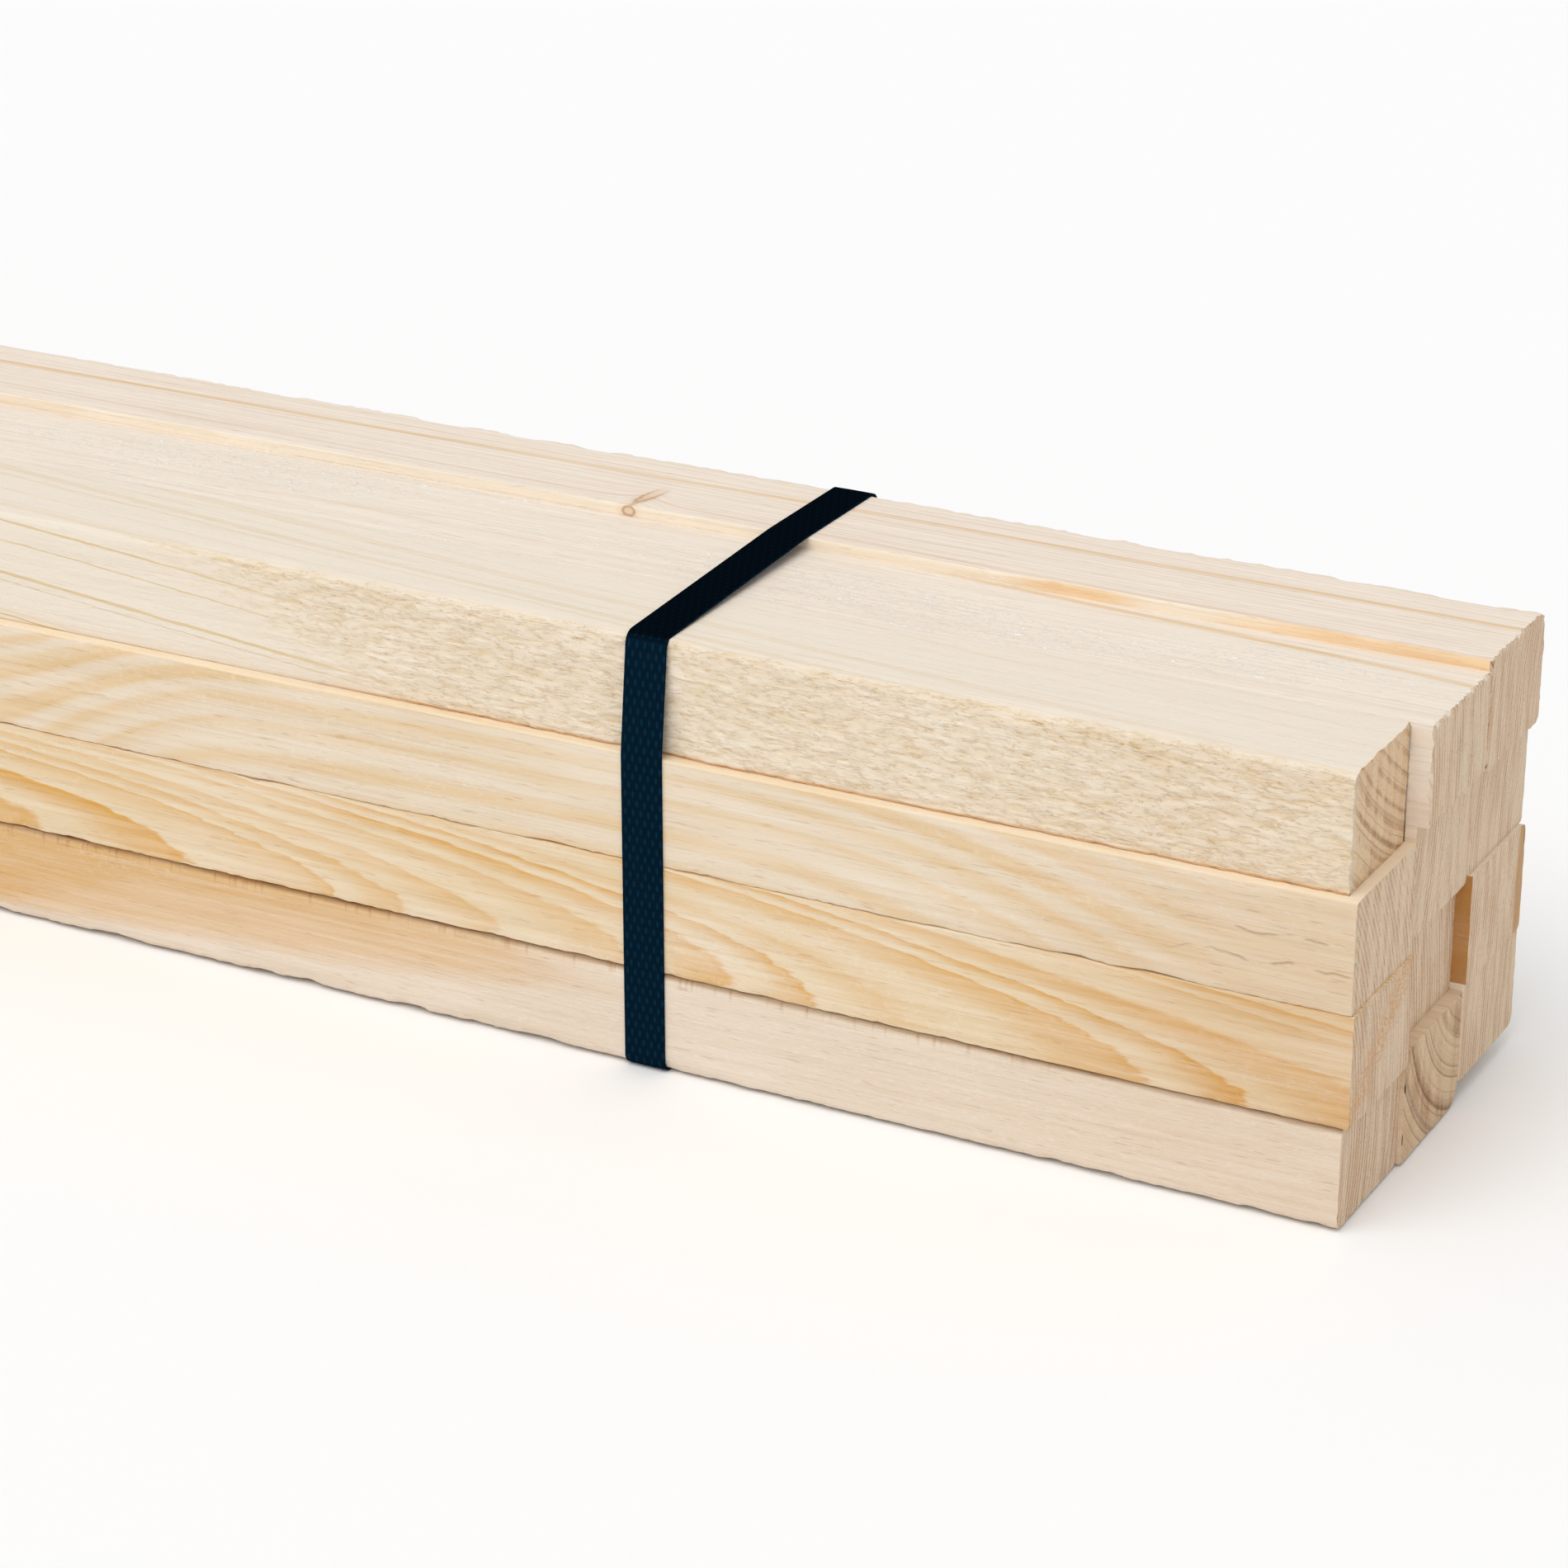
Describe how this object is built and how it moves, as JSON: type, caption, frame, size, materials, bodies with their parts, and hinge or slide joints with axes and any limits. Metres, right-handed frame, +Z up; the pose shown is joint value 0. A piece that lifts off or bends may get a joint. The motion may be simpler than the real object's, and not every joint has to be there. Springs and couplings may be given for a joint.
{
  "type": "bundle of pine studs",
  "caption": "Long strapped bundle of sawn pine studs stacked flat in rows and columns, with slightly uneven ends, held tight by dark plastic straps welded at the back.",
  "frame": {"origin": "on the floor under the middle of the bundle's overall box", "axes": "+X along the studs towards the near ends, +Y from the front face to the back face, +Z up"},
  "size_m": [2.4076, 0.156, 0.1584],
  "materials": {
    "pine": "sawn, partly planed, unsealed",
    "strap": "embossed polypropylene, satin"
  },
  "bodies": {
    "root": {"bottom_front_stud": "pine", "lower_front_stud": "pine", "upper_front_stud": "pine", "top_front_stud": "pine", "bottom_middle_stud": "pine", "lower_middle_stud": "pine", "upper_middle_stud": "pine", "top_middle_stud": "pine", "bottom_back_stud": "pine", "lower_back_stud": "pine", "upper_back_stud": "pine", "top_back_stud": "pine", "near_strap": "strap", "far_strap": "strap"}
  },
  "joints": []
}
